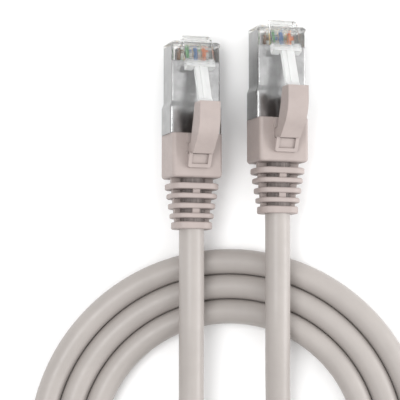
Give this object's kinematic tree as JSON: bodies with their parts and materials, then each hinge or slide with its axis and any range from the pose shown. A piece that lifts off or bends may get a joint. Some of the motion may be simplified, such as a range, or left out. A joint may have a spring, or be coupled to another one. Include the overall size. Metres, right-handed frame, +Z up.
{
  "type": "ethernet patch cable",
  "caption": "Shielded network patch cable in a flat coil, with a clear latching modular plug, metal shield, ribbed boot and latch lever on each end.",
  "frame": {"origin": "centre of the coil, on the surface that the cable lies on", "axes": "+Y from the coil towards the noses of the plugs, +Z up"},
  "size_m": [0.0938, 0.1439, 0.0199],
  "materials": {
    "cable_jacket": "satin PVC, warm beige-grey",
    "boot_plastic": "moulded satin PVC, warm beige-grey",
    "clear_plastic": "clear polycarbonate",
    "shield_metal": "bright nickel plate",
    "contact_gold": "gold plate",
    "braid_metal": "tinned braid",
    "wire_brown": "smooth insulation",
    "wire_white_brown": "smooth insulation",
    "wire_green": "smooth insulation",
    "wire_white_blue": "smooth insulation",
    "wire_blue": "smooth insulation",
    "wire_white_green": "smooth insulation",
    "wire_orange": "smooth insulation",
    "wire_white_orange": "smooth insulation"
  },
  "bodies": {
    "root": {"cable_coil": "cable_jacket", "left_housing": "clear_plastic", "left_shield": "shield_metal", "left_contacts": "contact_gold", "left_load_bar": "clear_plastic", "left_jacket_end": "cable_jacket", "left_braid": "braid_metal", "left_crimp_collar": "shield_metal", "left_boot": "boot_plastic", "left_cable_end": "cable_jacket", "left_wire_brown": "wire_brown", "left_wire_white_brown": "wire_white_brown", "left_wire_green": "wire_green", "left_wire_white_blue": "wire_white_blue", "left_wire_blue": "wire_blue", "left_wire_white_green": "wire_white_green", "left_wire_orange": "wire_orange", "left_wire_white_orange": "wire_white_orange", "right_housing": "clear_plastic", "right_shield": "shield_metal", "right_contacts": "contact_gold", "right_load_bar": "clear_plastic", "right_jacket_end": "cable_jacket", "right_braid": "braid_metal", "right_crimp_collar": "shield_metal", "right_boot": "boot_plastic", "right_cable_end": "cable_jacket", "right_wire_brown": "wire_brown", "right_wire_white_brown": "wire_white_brown", "right_wire_green": "wire_green", "right_wire_white_blue": "wire_white_blue", "right_wire_blue": "wire_blue", "right_wire_white_green": "wire_white_green", "right_wire_orange": "wire_orange", "right_wire_white_orange": "wire_white_orange"},
    "left_latch_body": {"left_latch": "clear_plastic"},
    "left_lever_body": {"left_lever": "boot_plastic"},
    "right_latch_body": {"right_latch": "clear_plastic"},
    "right_lever_body": {"right_lever": "boot_plastic"}
  },
  "joints": [
    {"name": "left_lever_press", "type": "hinge", "parent": "root", "child": "left_lever_body", "pos_m": [-0.00685, 0.07013, 0.01292], "axis": [-0.9455, 0.0284, 0.3243], "range_deg": [0, 18], "stiffness_Nm_per_rad": 0.1},
    {"name": "left_latch_press", "type": "hinge", "parent": "root", "child": "left_latch_body", "pos_m": [-0.00781, 0.09489, 0.00796], "axis": [0.9455, -0.0284, -0.3243], "range_deg": [0, 10], "stiffness_Nm_per_rad": 0.02},
    {"name": "right_lever_press", "type": "hinge", "parent": "root", "child": "right_lever_body", "pos_m": [0.01295, 0.07373, 0.01292], "axis": [-0.9455, 0.0284, 0.3243], "range_deg": [0, 18], "stiffness_Nm_per_rad": 0.1},
    {"name": "right_latch_press", "type": "hinge", "parent": "root", "child": "right_latch_body", "pos_m": [0.01199, 0.09849, 0.00796], "axis": [0.9455, -0.0284, -0.3243], "range_deg": [0, 10], "stiffness_Nm_per_rad": 0.02}
  ],
  "couplings": [
    {"joint": "left_latch_press", "follows": "left_lever_press", "ratio": 0.54},
    {"joint": "right_latch_press", "follows": "right_lever_press", "ratio": 0.54}
  ]
}
